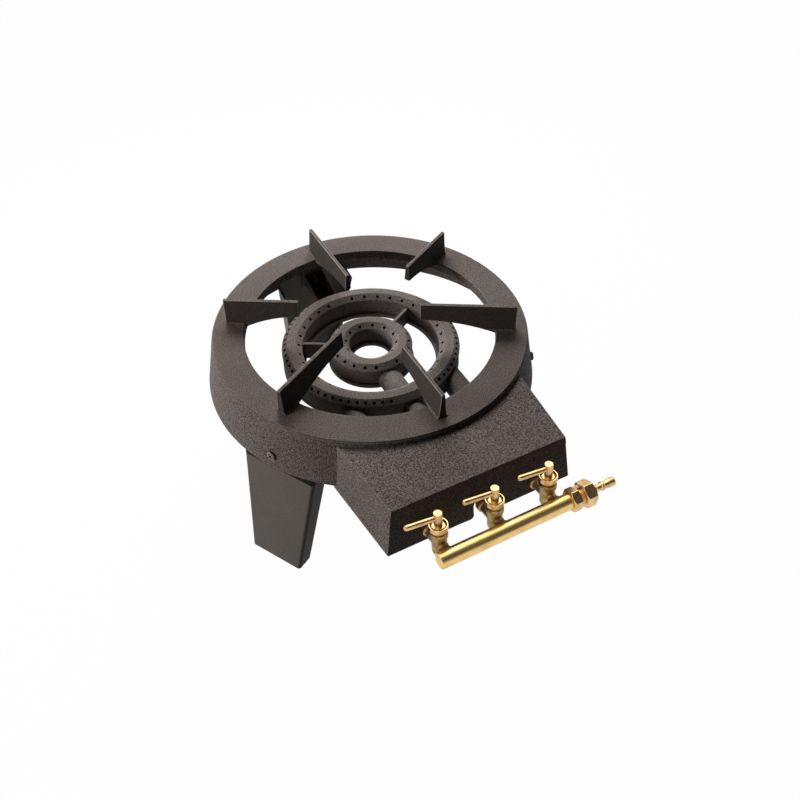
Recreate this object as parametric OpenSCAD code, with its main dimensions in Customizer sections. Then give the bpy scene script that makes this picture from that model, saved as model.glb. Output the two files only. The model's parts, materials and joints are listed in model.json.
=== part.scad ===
// Outdoor gas burner: cast body on three folded legs, two concentric burner rings, three lever taps.
// Frame: origin on the floor under the middle of the outline, +Z up, front along -Y, millimetres.
// The modules are drawn about the axis of the top ring and moved to that origin when placed.

/* [Top ring and skirt] */
// Height of the flat top of the ring above the floor
ring_h = 200; // [180:1:225]
// Outer radius of the flat top ring
ring_r = 175; // [165:1:190]
// Inner radius of the flat top ring
ring_in_r = 140.5; // [130:0.5:146]
// Thickness of the ring plate
ring_t = 7; // [5:0.5:9]
// Depth of the lip round the ring opening
rim_h = 12; // [9:0.5:16]
// Thickness of the lip round the ring opening
rim_t = 5; // [3:0.5:8]
// Height of the small upright edge under the ring top
edge_h = 1.6; // [1:0.1:3]
// Ledge by which the skirt stands proud of the ring edge
edge_step = 1; // [0.4:0.1:2]
// Height of the skirt below the ring top
skirt_h = 57; // [50:1:64]
// Growth of the skirt radius from the ring to its lower edge
skirt_flare = 12.3; // [8:0.1:16]
// Wall of the casting
wall_t = 4; // [3.5:0.5:5.5]

/* [Pan fingers] */
// Height of the finger tops above the ring top
finger_h = 30.8; // [22:0.2:40]
// Distance of the outer finger ends from the ring edge
finger_inset = 13.6; // [8:0.2:20]
// Radius of the inner tips of the three long fingers
long_tip_r = 55.7; // [48:0.1:66]
// Radius of the inner tips of the three short fingers
short_tip_r = 78.2; // [70:0.1:90]
// Height of a finger at its inner tip
finger_tip_h = 20; // [16:0.5:28]
// Height of a finger where it meets the ring opening
finger_root_h = 35.5; // [33:0.5:40]
// Thickness of a finger along its top edge
finger_top_t = 4; // [3:0.1:6]
// Thickness of a finger at the ring top
finger_base_t = 9; // [6:0.1:12]
// Fillet between fingers and ring
finger_fillet = 4; // [2:0.5:7]

/* [Front box] */
// Distance of the upper front edge of the box from the ring edge
box_out = 61; // [55:0.5:75]
// Width of the box top along its front edge
box_front_w = 194.4; // [180:0.1:210]
// Width gained by the box top at the ring side
box_back_gain = 19.6; // [8:0.2:28]
// Drop of the box top below the ring top
box_drop = 6.5; // [5:0.1:9]
// Height of the box
box_h = 56.3; // [50:0.1:62]
// Draft of the front and the sides of the box
box_draft = 8.6; // [5:0.1:11]
// Depth of the shallow band along the top of the front panel
band_h = 8.5; // [6:0.5:12]
// Setback of the front panel under that band
band_step = 0.7; // [0.4:0.1:1.2]
// Width of the notch in the lower edge of the front panel
notch_w = 18; // [15:0.5:24]
// Corner radius at the mouth of the notch
notch_r = 5; // [3:0.5:7]

/* [Burner rings] */
// Drop of the flat burner top below the ring top
burner_drop = 22.7; // [20:0.1:27]
// Outer radius of the large cap
large_r = 101.7; // [96:0.1:106]
// Inner radius of the large cap
large_in_r = 78.4; // [76:0.1:80]
// Outer radius of the centre cap
centre_r = 47.6; // [46:0.1:50]
// Inner radius of the centre cap
centre_in_r = 25.2; // [23:0.1:27]
// Width of the sloping faces of the caps
slope_w = 7; // [6:0.1:8]
// Fall of the sloping faces of the caps
slope_h = 5.6; // [4:0.1:7]
// Height of the upright edge of a cap
cap_edge = 1.6; // [1:0.1:3]
// Overhang of a cap past the walls of its channel
cap_over = 0.5; // [0.2:0.1:1.5]
// Wall of the gas channels
channel_t = 3.4; // [3:0.1:4]
// Height of the channel castings under the caps
channel_h = 22.1; // [20:0.1:26]
// Thickness of the floor flange of the channels
flange_t = 5; // [4:0.5:6]
// Reach of the floor flange outside the centre channel
flange_out = 1.9; // [1:0.1:4]
// Reach of the floor flange inside the channels
flange_in = 3.2; // [1:0.1:5]
// Bore of a gas port
port_d = 3.7; // [2.4:0.1:4]
// Ports in the outer slope of the large cap
large_ports = 68; // [40:1:72]
// Ports in the inner slope of the large cap
large_in_ports = 33; // [20:1:40]
// Ports in the outer slope of the centre cap
centre_ports = 22; // [14:1:26]
// Ports in the inner slope of the centre cap
centre_in_ports = 12; // [8:1:16]
// Thickness of the two ribs between the rings
rib_t = 4; // [3:0.2:6]
// Outer diameter of a mixing tube
tube_d = 27; // [24:0.5:27.5]
// Rise of the mixing tubes towards the rings
tube_rise = 1.2; // [0:0.1:1.2]
// Wall of a mixing tube
tube_t = 3.5; // [2.5:0.1:4]
// Drop of the gas axis below the ring top
flow_drop = 47.5; // [45:0.5:49]

/* [Legs] */
// Thickness of the leg sheet
leg_t = 2.5; // [2:0.1:3]
// Width of a leg at its shoulders
leg_top_w = 96; // [80:0.5:98]
// Width of a leg at the floor
leg_foot_w = 66.5; // [52:0.5:76]
// Depth of the leg flanges under the skirt
leg_top_d = 23.5; // [21:0.5:30]
// Depth of the leg flanges at the floor
leg_foot_d = 18; // [12:0.5:20]
// Bend radius of the leg sheet
leg_bend = 4; // [3.4:0.2:8]
// Drop of the leg screws below the ring top
screw_drop = 42; // [40:0.5:46]
// Diameter of the leg screws
screw_d = 5; // [4:0.5:6]
// Length of the bosses that space the legs off the skirt
boss_len = 7; // [6.5:0.5:10]

/* [Taps and manifold] */
// Spacing of the taps
tap_pitch = 61; // [56:0.5:66]
// Distance of the tap axes from their seats on the panel
tap_gap = 23.4; // [22:0.1:28]
// Diameter of the tap stems
stem_d = 8.3; // [7.6:0.1:9]
// Diameter of the lever rods
lever_d = 5.6; // [4.4:0.1:6]
// Reach of the levers from the stem axis
lever_len = 33.4; // [26:0.2:40]
// Turn of the closed levers towards the panel
lever_turn = 7; // [0:1:15]
// Rise of the levers above the tap outlets
lever_rise = 34.4; // [33:0.1:38]
// Diameter of the gland nuts
gland_d = 18.6; // [18.2:0.1:20]
// Height of the gland nuts
gland_h = 5.4; // [5.2:0.1:7]
// Rise of the gland nut tops above the tap outlets
gland_rise = 26; // [25:0.1:28]
// Distance from the tap axes to the manifold axis
man_gap = 18.7; // [18.2:0.1:22]
// Diameter of the manifold tube
man_d = 16.6; // [15.5:0.1:18]
// Wall of the manifold tube
man_t = 2; // [1.5:0.1:2.5]
// Distance of the closed manifold end from the left tap
man_left = 11; // [8:0.1:14]
// Distance of the open manifold end from the right tap
man_right = 12; // [12:0.5:24]

/* [Hose connection] */
// Width across the flats of the adapter collar
adapter_af = 21; // [19:0.5:24]
// Length of the adapter collar
adapter_l = 10; // [6:0.5:12]
// Width across the flats of the union nut
union_af = 24; // [22:0.5:28]
// Length of the union nut
union_l = 12.5; // [11.5:0.5:18]
// Diameter of the hose tail over its crests
tail_d = 9.5; // [8.5:0.1:10]
// Diameter of the hose tail between its crests
tail_root_d = 7.6; // [6.8:0.1:8]
// Length of the hose tail outside the union nut
tail_l = 28.5; // [27.5:0.5:36]

/* [Hidden] */
$fn = 96;
run_gap = 0.05;
move_gap = 0.3;
press_gap = 0.01;
big = 400;

box_top = ring_h - box_drop;
box_bot = box_top - box_h;
box_y = -(ring_r + box_out);
box_taper = atan(box_back_gain / 2 / 96);
skirt_z = ring_h - skirt_h;
skirt_top_r = ring_r + edge_step;
skirt_r = ring_r + skirt_flare;
skirt_ang = atan((skirt_r - skirt_top_r) / (skirt_h - edge_h));
finger_top = ring_h + finger_h;
finger_out_r = ring_r - finger_inset;

flow_z = ring_h - flow_drop;
seat_dip = 0.8;
seat_y = box_y - (box_top - flow_z) * tan(box_draft) + (band_step + seat_dip) / cos(box_draft);
pad_y = seat_y + 9;
pad_r = 12;
spigot_r = 5.5;
spigot_out = 9;
lock_af = 17;
lock_h = 5;
injector_af = 9;
tap_boss_r = 7;
tap_boss_l = 5;
tap_waist_r = 5.6;
man_out = tap_gap + man_gap;
man_y = seat_y - man_out * cos(box_draft);
man_z = flow_z + man_out * sin(box_draft);
man_x0 = -tap_pitch - man_left;
man_x1 = tap_pitch + man_right;

cap_z = ring_h - burner_drop;
cap_h = slope_h + cap_edge;
cap_low = cap_z - cap_h;
base_z = cap_low - channel_h;
tube_r = tube_d / 2;
bore_r = tube_r - tube_t;
tube_y = pad_y + 28;
tie_y = tube_y + 13;
tie_t = 8;
bolt_x = tap_pitch / 2;
bolt_d = 6;
bolt_af = 10;
bolt_head_h = 4;
bolt_grip = 12;
rear_grip = 8;
bracket_t = 3;
bracket_w = 25;
bracket_end = 12;
bracket_y = (large_r + large_in_r) / 2;

screw_z = ring_h - screw_drop;
screw_r = skirt_top_r + (screw_drop - edge_h) * tan(skirt_ang);
seat_len = wall_t + boss_len;
leg_y = screw_r - seat_len * cos(skirt_ang);
leg_z = screw_z - seat_len * sin(skirt_ang);
leg_low = -leg_z / cos(skirt_ang) - 6;
leg_lean = atan((leg_top_w - leg_foot_w) / 2 / -leg_low);
screw_l = 26;
nut_h = 4;

stem_top = lever_rise + 6.2;
lever_in = stem_d / 2 - 1.4;
gland_low = gland_rise - gland_h;
neck_r = gland_d / 2 - 1.05;
neck_top = gland_low + 1.6;
house_top = gland_low - 3.8;
house_low = -11.5;
house_r = 8.7;
house_low_r = 7.3;
plug_low = house_low + 4;
plug_low_r = 4.4;
plug_top_r = 6;
plug_flange_r = neck_r - 0.35;
plug_flange_h = 1.3;
plug_ring_r = 6.2;
gland_lip_r = plug_ring_r + 1.8;
gland_lip_h = 1.2;

man_r = man_d / 2;
man_in_r = man_r - man_t;
adapter_x = man_x1;
stub_l = 6;
thread_r = 8;
thread_l = 10.4;
thread_show = 4;
union_x = adapter_x + adapter_l + thread_show;
thread_end = adapter_x + adapter_l + thread_l;
washer_t = 1.5;
tail_flange_t = 2.5;
union_end = union_x + union_l;
tail_end = union_end + tail_l;
tail_bore = 4.6;

foot_y = leg_y + leg_z * tan(skirt_ang);
front_y = man_y - union_af / 2;
axis_y = -(foot_y + front_y) / 2;

function hex_r(af) = af / 2 / cos(30);

// Moves the ring axis to its place in the frame.
module place() {
  translate([0, axis_y, 0])
    children();
}

// Places a shape in the frame of a leg: origin on the outer sheet face at the screw, Y along the screw.
module leg_frame(angle) {
  rotate([0, 0, angle - 90])
    translate([0, leg_y, leg_z])
      rotate([skirt_ang, 0, 0])
        children();
}

// Places a shape at the three leg angles.
module at_legs() {
  for (angle = [-150, -30, 90])
    leg_frame(angle)
      children();
}

// Points a shape drawn along Z to the rear, starting at a given place.
module rearward(x, y, z) {
  translate([x, y, z])
    rotate([-90, 0, 0])
      children();
}

// Places a shape in the frame of a tap: origin on its seat, Z along the stem, Y into the panel.
module tap_frame(x) {
  translate([x, seat_y, flow_z])
    rotate([-box_draft, 0, 0])
      children();
}

// Places a shape on the stem axis of a tap, heights measured from the outlet.
module on_stem(x) {
  tap_frame(x)
    translate([0, -tap_gap, 0])
      children();
}

// Points a shape drawn along Z at the panel, starting at a distance in front of the seat.
module inward(x, out) {
  tap_frame(x)
    translate([0, -out, 0])
      rotate([-90, 0, 0])
        children();
}

// Points a shape drawn along Z to the right, on the manifold axis.
module along_manifold(x) {
  translate([x, man_y, man_z])
    rotate([0, 90, 0])
      children();
}

module tube(outer, inner, h) {
  difference() {
    cylinder(r = outer, h = h);
    translate([0, 0, -1])
      cylinder(r = inner, h = h + 2);
  }
}

// Section of the ring, its lip and the flared skirt.
module skirt_section() {
  in_top = skirt_top_r - wall_t;
  polygon([
    [ring_in_r, ring_h],
    [ring_r, ring_h],
    [ring_r, ring_h - edge_h],
    [skirt_top_r, ring_h - edge_h],
    [skirt_r, skirt_z],
    [skirt_r - wall_t, skirt_z],
    [in_top, ring_h - ring_t],
    [ring_in_r + rim_t, ring_h - ring_t],
    [ring_in_r + rim_t, ring_h - rim_h],
    [ring_in_r, ring_h - rim_h]
  ]);
}

// Space inside the skirt, kept clear of the box walls.
module skirt_inside() {
  rotate_extrude()
    polygon([
      [0, skirt_z - 20],
      [skirt_r - wall_t + 20 * tan(skirt_ang), skirt_z - 20],
      [skirt_top_r - wall_t, ring_h - ring_t],
      [skirt_top_r - wall_t, ring_h + 1],
      [0, ring_h + 1]
    ]);
}

// Side view of one finger, radius along X and height along Y.
module finger_profile(tip_r) {
  span = ring_in_r - tip_r;
  rise = finger_root_h - finger_tip_h;
  arch_r = (span * span + rise * rise) / (2 * rise);
  difference() {
    polygon([
      [tip_r, finger_top],
      [finger_out_r, finger_top],
      [finger_out_r, ring_h - 1],
      [ring_in_r + rim_t / 2, ring_h - 1],
      [ring_in_r + rim_t / 2, finger_top - finger_root_h],
      [tip_r, finger_top - finger_root_h]
    ]);
    translate([tip_r, finger_top - finger_tip_h - arch_r])
      circle(r = arch_r, $fn = 180);
  }
}

// End view of one finger, tapering to its top edge.
module finger_end() {
  low = ring_h - finger_root_h;
  slope = (finger_base_t - finger_top_t) / 2 / finger_h;
  low_w = finger_top_t / 2 + slope * (finger_top - low);
  polygon([
    [-finger_top_t / 2, finger_top],
    [finger_top_t / 2, finger_top],
    [low_w, low],
    [-low_w, low]
  ]);
}

module finger(angle, tip_r) {
  rotate([0, 0, angle]) {
    intersection() {
      translate([0, finger_base_t, 0])
        rotate([90, 0, 0])
          linear_extrude(2 * finger_base_t)
            finger_profile(tip_r);
      rotate([90, 0, 90])
        linear_extrude(ring_r)
          finger_end();
    }
    for (side = [0, 1])
      mirror([0, side, 0])
        translate([ring_in_r, finger_base_t / 2 - 0.4, ring_h - 0.2])
          rotate([90, 0, 90])
            linear_extrude(finger_out_r - ring_in_r)
              difference() {
                square(finger_fillet);
                translate([finger_fillet, finger_fillet])
                  circle(r = finger_fillet);
              }
  }
}

// Block of the front box, its planes drawn in by the inset.
module box_block(inset) {
  difference() {
    translate([-big / 2, box_y - 60, box_bot - 1])
      cube([big, ring_r, box_h + 1 - inset]);
    for (side = [0, 1])
      mirror([side, 0, 0])
        translate([box_front_w / 2, box_y, box_top])
          rotate([0, 0, -box_taper])
            rotate([0, -box_draft, 0])
              translate([-inset, -big, -big])
                cube([big, 2 * big, 2 * big]);
    translate([0, box_y, box_top])
      rotate([-box_draft, 0, 0])
        translate([-big, inset - big, -big])
          cube([2 * big, big, 2 * big]);
  }
}

// Outside of the box, with the set-back lower part of the front panel.
module box_outside() {
  difference() {
    box_block(0);
    translate([-big, -big, box_bot - big])
      cube([2 * big, 2 * big, big]);
    translate([0, box_y, box_top])
      rotate([-box_draft, 0, 0])
        translate([-big, band_step - big, -big - band_h])
          cube([2 * big, big, big]);
    skirt_inside();
  }
}

// Opening of the panel round the middle outlet, with rounded lips.
module notch() {
  half = notch_w / 2;
  translate([0, box_y + 10, 0])
    rotate([90, 0, 0])
      linear_extrude(40) {
        translate([0, flow_z])
          circle(r = half);
        translate([-half, box_bot - 1])
          square([notch_w, flow_z - box_bot + 1]);
        difference() {
          translate([-half - notch_r, box_bot - 1])
            square([notch_w + 2 * notch_r, notch_r + 1]);
          for (side = [-1, 1])
            translate([side * (half + notch_r), box_bot + notch_r])
              circle(r = notch_r);
        }
      }
}

module body() {
  color("#4a4543")
    difference() {
      union() {
        difference() {
          union() {
            rotate_extrude($fn = 180)
              skirt_section();
            box_outside();
          }
          box_block(wall_t);
        }
        for (angle = [-30, 90, -150])
          finger(angle, long_tip_r);
        for (angle = [30, 150, -90])
          finger(angle, short_tip_r);
        intersection() {
          for (x = [-tap_pitch, tap_pitch])
            rearward(x, pad_y - 12, flow_z)
              cylinder(r = pad_r, h = 12);
          box_block(band_step + 0.5);
        }
        for (x = [-bolt_x, bolt_x])
          translate([x, tie_y, flow_z + tie_t / 2])
            cylinder(r = 9, h = box_top - wall_t - flow_z - tie_t / 2 + 1);
        at_legs()
          rotate([-90, 0, 0])
            cylinder(r = 10, h = boss_len + 1.5);
      }
      for (x = [-tap_pitch, tap_pitch]) {
        inward(x, 20)
          cylinder(r = tap_boss_r + 0.4, h = 20);
        rearward(x, seat_y - 20, flow_z)
          cylinder(r = spigot_r + 0.1, h = 40);
      }
      notch();
      for (x = [-bolt_x, bolt_x])
        translate([x, tie_y, flow_z])
          cylinder(d = bolt_d + 2 * press_gap, h = 18);
      at_legs()
        translate([0, -5, 0])
          rotate([-90, 0, 0])
            cylinder(d = screw_d + 0.4, h = 40);
    }
}

// Solid of one channel: walls between two radii on a wider floor flange.
module channel_solid(in_r, out_r, reach) {
  translate([0, 0, base_z])
    tube(out_r - cap_over, in_r + cap_over, channel_h);
  translate([0, 0, base_z])
    tube(out_r + reach, in_r - flange_in, flange_t);
}

// Gas space of one channel, open at the top.
module channel_space(in_r, out_r) {
  translate([0, 0, base_z + flange_t])
    tube(out_r - cap_over - channel_t, in_r + cap_over + channel_t, channel_h);
}

// Frame of a mixing tube, from its mouth along its rising axis.
module uphill(x) {
  rearward(x, tube_y, flow_z)
    rotate([tube_rise, 0, 0])
      children();
}

// One mixing tube from a channel to its mouth behind the injector.
module mixing_tube(x, far_y) {
  uphill(x) {
    cylinder(r = tube_r, h = far_y - tube_y);
    cylinder(r1 = tube_r + 3.5, r2 = tube_r, h = 9);
  }
}

module mixing_bore(x, far_y) {
  uphill(x)
    translate([0, 0, -1]) {
      cylinder(r = bore_r, h = far_y - tube_y + 1);
      cylinder(r1 = bore_r + 4, r2 = bore_r, h = 10);
    }
}

module burner_base() {
  side_in = large_r - cap_over - channel_t;
  side_y = -sqrt(side_in * side_in - tap_pitch * tap_pitch);
  mid_y = -(centre_r - cap_over - channel_t);
  rear_r = (large_r + large_in_r) / 2;
  color("#3f3b39")
    difference() {
      union() {
        channel_solid(large_in_r, large_r, 0);
        channel_solid(centre_in_r, centre_r, flange_out);
        for (angle = [30, 150])
          rotate([0, 0, angle])
            translate([centre_r - cap_over - 1, -rib_t / 2, base_z])
              cube([large_in_r + 2 * cap_over - centre_r + 2, rib_t, channel_h - 0.6]);
        for (x = [-tap_pitch, tap_pitch])
          mixing_tube(x, side_y + 10);
        mixing_tube(0, mid_y + 10);
        translate([-tap_pitch, tie_y - 8, flow_z - tie_t / 2])
          cube([2 * tap_pitch, 16, tie_t]);
      }
      difference() {
        channel_space(large_in_r, large_r);
        uphill(0)
          cylinder(r = tube_r, h = mid_y + 10 - tube_y);
        translate([0, bracket_y, base_z])
          cylinder(r = 5.6, h = 14);
      }
      channel_space(centre_in_r, centre_r);
      for (x = [-tap_pitch, tap_pitch])
        mixing_bore(x, side_y + 4);
      mixing_bore(0, mid_y + 4);
      for (x = [-bolt_x, bolt_x])
        translate([x, tie_y, flow_z - tie_t])
          cylinder(d = bolt_d + 0.4, h = 2 * tie_t);
      translate([0, bracket_y, base_z - 1])
        cylinder(d = bolt_d + 2 * press_gap, h = 11);
    }
}

// Section of a cap between two radii: flat top with a slope on each side.
module cap_section(in_r, out_r) {
  polygon([
    [in_r + slope_w, cap_z],
    [out_r - slope_w, cap_z],
    [out_r, cap_z - slope_h],
    [out_r, cap_low],
    [in_r, cap_low],
    [in_r, cap_z - slope_h]
  ]);
}

// Ring of ports drilled at an incline through one slope, lean 1 for the outer and -1 for the inner.
// No port lies between the two angles of the bare arc.
module port_ring(mid_r, count, lean, start, bare) {
  for (i = [0 : count - 1]) {
    angle = start + i * 360 / count;
    if (angle < bare[0] || angle > bare[1])
      rotate([0, 0, angle])
        translate([mid_r, 0, cap_z - slope_h / 2])
          rotate([0, lean * 45, 0])
            translate([0, 0, -8])
              cylinder(d = port_d, h = 12, $fn = 24);
  }
}

module large_ring_cap() {
  color("#55504d")
    difference() {
      rotate_extrude($fn = 180)
        cap_section(large_in_r, large_r);
      port_ring(large_r - slope_w / 2, large_ports, 1, 2, [259, 280]);
      port_ring(large_in_r + slope_w / 2, large_in_ports, -1, 90.7, [85, 95]);
    }
}

module centre_ring_cap() {
  color("#55504d")
    difference() {
      rotate_extrude($fn = 120)
        cap_section(centre_in_r, centre_r);
      port_ring(centre_r - slope_w / 2, centre_ports, 1, 6, [262, 273]);
      port_ring(centre_in_r + slope_w / 2, centre_in_ports, -1, 0, [-1, -1]);
    }
}

// Hexagon-head bolt pointing up from its head.
module burner_bolt(shank) {
  translate([0, 0, -bolt_head_h])
    cylinder(r = hex_r(bolt_af), h = bolt_head_h, $fn = 6);
  cylinder(d = bolt_d, h = shank);
}

module burner_bolts() {
  color("#8c8c90") {
    for (x = [-bolt_x, bolt_x])
      translate([x, tie_y, flow_z - tie_t / 2])
        burner_bolt(tie_t + bolt_grip);
    translate([0, bracket_y, base_z - bracket_t])
      burner_bolt(bracket_t + rear_grip);
  }
}

// Folded bracket that carries the rear of the burner from the rear leg screw.
module rear_bracket() {
  half = bracket_w / 2;
  low = base_z - bracket_t;
  front = bracket_y - bracket_end;
  rear = leg_y + 4;
  color("#2f2c2b")
    difference() {
      union() {
        leg_frame(90)
          translate([-half - 2, -leg_t - bracket_t, -16])
            cube([bracket_w + 4, bracket_t + 2, 28]);
        intersection() {
          translate([0, rear, low])
            rotate([90, 0, 0])
              linear_extrude(rear - front)
                polygon([
                  [-half, 0],
                  [half, 0],
                  [half, 40],
                  [half - bracket_t, 40],
                  [half - bracket_t, bracket_t],
                  [bracket_t - half, bracket_t],
                  [bracket_t - half, 40],
                  [-half, 40]
                ]);
          translate([-half - 1, 0, 0])
            rotate([90, 0, 90])
              linear_extrude(bracket_w + 2)
                polygon([
                  [front - 1, low - 1],
                  [rear + 1, low - 1],
                  [rear + 1, leg_z + 6],
                  [leg_y - 8, leg_z + 6],
                  [large_r + 22, base_z + 2],
                  [large_r + 8, base_z],
                  [front - 1, base_z]
                ]);
        }
      }
      leg_frame(90)
        translate([-big, -leg_t, -big])
          cube([2 * big, 60, 2 * big]);
      leg_frame(90)
        translate([0, 5, 0])
          rotate([90, 0, 0])
            cylinder(d = screw_d + 0.4, h = 30);
      translate([0, bracket_y, base_z - 10])
        cylinder(d = bolt_d + 0.4, h = 20);
    }
}

// Section of one leg side: half the web, the bend and the flange, the outer corner at the origin.
module leg_section() {
  web = leg_top_w;
  flange = leg_top_d + 10;
  difference() {
    union() {
      translate([-leg_bend, -leg_bend])
        circle(r = leg_bend);
      translate([-web, -leg_bend])
        square([web - leg_bend, leg_bend]);
      translate([-leg_bend, -flange])
        square([leg_bend, flange - leg_bend]);
    }
    translate([-leg_bend, -leg_bend])
      circle(r = leg_bend - leg_t);
    polygon([
      [-web - 1, -leg_t],
      [-leg_bend, -leg_t],
      [-leg_bend, -leg_bend],
      [-leg_t, -leg_bend],
      [-leg_t, -flange - 1],
      [-web - 1, -flange - 1]
    ]);
  }
}

// Front outline of half a leg: tongue round the screw, chamfered shoulder and open sides.
module leg_outline() {
  shoulder = leg_top_w / 2;
  polygon([
    [0, leg_low - 20],
    [big, leg_low - 20],
    [big, -4],
    [shoulder, -4],
    [shoulder - 15, 7],
    [14, 7],
    [14, 15],
    [0, 15]
  ]);
}

// Half of a leg, folded along its slanting side, the flange tapering to the floor.
module leg_half() {
  run = 60 - leg_low;
  fall = atan((leg_top_d - leg_foot_d) / -leg_low);
  intersection() {
    translate([leg_foot_w / 2, 0, leg_low])
      rotate([0, leg_lean, 0])
        difference() {
          translate([0, 0, -10])
            linear_extrude(run)
              leg_section();
          translate([0, -leg_foot_d, 0])
            rotate([fall, 0, 0])
              translate([-big, -60, -60])
                cube([2 * big, 60, run + 90]);
        }
    translate([0, 5, 0])
      rotate([90, 0, 0])
        linear_extrude(60)
          leg_outline();
  }
}

module leg(angle) {
  color("#262423")
    difference() {
      leg_frame(angle)
        difference() {
          union() {
            leg_half();
            mirror([1, 0, 0])
              leg_half();
          }
          translate([0, 5, 0])
            rotate([90, 0, 0])
              cylinder(d = screw_d + 0.4, h = 20);
        }
      translate([-big, -big, -40])
        cube([2 * big, 2 * big, 40]);
    }
}

// Pan-head screw with a cross recess, head outside the skirt, pointing inward.
module leg_screws() {
  head_r = screw_d;
  head_h = 3.4;
  color("#6f6c6a")
    at_legs()
      translate([0, seat_len, 0])
        rotate([-90, 0, 0])
          difference() {
            union() {
              translate([0, 0, -screw_l])
                cylinder(d = screw_d, h = screw_l + 1);
              intersection() {
                cylinder(r = head_r, h = head_h);
                translate([0, 0, head_h - 9])
                  sphere(r = 9);
              }
            }
            for (turn = [0, 90])
              rotate([0, 0, turn + 45])
                translate([-head_r * 0.62, -0.6, head_h - 1.9])
                  cube([head_r * 1.24, 1.2, 3]);
          }
}

module leg_nuts() {
  color("#6f6c6a")
    for (angle = [-150, -30, 90])
      leg_frame(angle)
        translate([0, -leg_t - (angle == 90 ? bracket_t : 0) - nut_h, 0])
          rotate([-90, 0, 0])
            difference() {
              cylinder(r = hex_r(1.6 * screw_d), h = nut_h, $fn = 6);
              translate([0, 0, -1])
                cylinder(d = screw_d + 2 * press_gap, h = nut_h + 2);
            }
}

module manifold_tube() {
  color("#c9a24a")
    difference() {
      along_manifold(man_x0)
        tube(man_r, man_in_r, man_x1 - man_x0);
      for (x = [-tap_pitch, 0, tap_pitch])
        inward(x, man_out)
          cylinder(r = spigot_r - 0.7 + press_gap, h = man_d);
    }
}

module manifold_plug() {
  color("#c9a24a")
    along_manifold(man_x0)
      cylinder(r = man_in_r - press_gap, h = 1.8);
}

// Plug cone of a tap, grown by the running gap for the seat.
module plug_cone(grow) {
  translate([0, 0, plug_low - (grow > 0 ? move_gap : 0)])
    cylinder(r1 = plug_low_r + grow, r2 = plug_top_r + grow, h = neck_top - plug_low + move_gap);
}

// Turned outline of a tap housing, with a rounded foot and the groove under the gland nut.
module tap_housing() {
  rotate_extrude()
    polygon([
      [0, house_low],
      [house_low_r - 3, house_low],
      [house_low_r - 0.8, house_low + 1.2],
      [house_low_r, house_low + 3.4],
      [house_low_r + 0.3, house_top - 8.5],
      [house_r, house_top - 6],
      [house_r + 0.2, house_top - 3],
      [house_r, house_top - 1],
      [house_r - 0.6, house_top],
      [house_r - 1.4, house_top],
      [house_r - 1.4, gland_low],
      [neck_r, gland_low],
      [neck_r, neck_top],
      [0, neck_top]
    ]);
}

module tap_body(x) {
  color("#9c7a3c")
    difference() {
      union() {
        on_stem(x)
          tap_housing();
        inward(x, tap_gap)
          cylinder(r = tap_waist_r, h = tap_gap - 1);
        inward(x, tap_boss_l)
          cylinder(r = tap_boss_r, h = tap_boss_l);
        inward(x, tap_boss_l + 1.5)
          cylinder(r1 = tap_waist_r - 0.2, r2 = tap_boss_r, h = 1.5);
        rearward(x, seat_y - 4, flow_z)
          cylinder(r = spigot_r, h = pad_y + spigot_out - seat_y + 4);
        inward(x, man_out)
          cylinder(r = spigot_r - 0.7, h = man_gap);
      }
      on_stem(x)
        plug_cone(run_gap);
      inward(x, tap_gap)
        cylinder(r = 3.5, h = tap_gap + 1);
      rearward(x, seat_y - 1, flow_z)
        cylinder(r = 3.2, h = 60);
      inward(x, man_out)
        cylinder(r = 2.8, h = man_gap);
      along_manifold(x - 20)
        cylinder(r = man_in_r, h = 40);
    }
}

module tap_plug(x) {
  flange_z = neck_top + move_gap;
  color("#d8b65c")
    on_stem(x)
      difference() {
        union() {
          plug_cone(0);
          translate([0, 0, flange_z])
            cylinder(r = plug_flange_r, h = plug_flange_h);
          translate([0, 0, flange_z])
            cylinder(r = plug_ring_r, h = gland_rise - flange_z - 1.2);
          translate([0, 0, flange_z])
            cylinder(d = stem_d, h = stem_top - flange_z);
        }
        translate([-20, 0, 0])
          rotate([0, 90, 0])
            cylinder(r = 2.6, h = 40);
        rotate([0, 0, -lever_turn])
          translate([-20, 0, lever_rise])
            rotate([0, 90, 0])
              cylinder(d = lever_d + 2 * press_gap, h = 20 + lever_in);
      }
}

module tap_lever(x) {
  color("#d8b65c")
    on_stem(x)
      rotate([0, 0, -lever_turn])
        translate([0, 0, lever_rise]) {
          translate([lever_in - run_gap, 0, 0])
            rotate([0, -90, 0])
              cylinder(d = lever_d, h = lever_len + lever_in - run_gap - lever_d / 2);
          translate([lever_d / 2 - lever_len, 0, 0])
            sphere(d = lever_d);
        }
}

module gland_nuts() {
  color("#d8b65c")
    for (x = [-tap_pitch, 0, tap_pitch])
      on_stem(x)
        translate([0, 0, gland_low])
          difference() {
            cylinder(d = gland_d, h = gland_h);
            translate([0, 0, -1])
              cylinder(r = neck_r + press_gap, h = gland_h + 1 - gland_lip_h);
            cylinder(r = gland_lip_r, h = gland_h + 1);
          }
}

// Conical spring washers that hold the plugs down.
module spring_washers() {
  top = gland_rise - gland_lip_h;
  low = neck_top + 2 * move_gap + plug_flange_h;
  t = 0.5;
  color("#77736c")
    for (x = [-tap_pitch, 0, tap_pitch])
      on_stem(x)
        rotate_extrude()
          polygon([
            [plug_ring_r + move_gap, low],
            [plug_ring_r + move_gap + t, low],
            [neck_r - 0.1, top - t],
            [neck_r - 0.1, top],
            [gland_lip_r - 0.4, top]
          ]);
}

module lock_nuts() {
  color("#c9a24a")
    for (x = [-tap_pitch, tap_pitch])
      rearward(x, pad_y, flow_z)
        difference() {
          cylinder(r = hex_r(lock_af), h = lock_h, $fn = 6);
          translate([0, 0, -1])
            cylinder(r = spigot_r + press_gap, h = lock_h + 2);
        }
}

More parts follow.
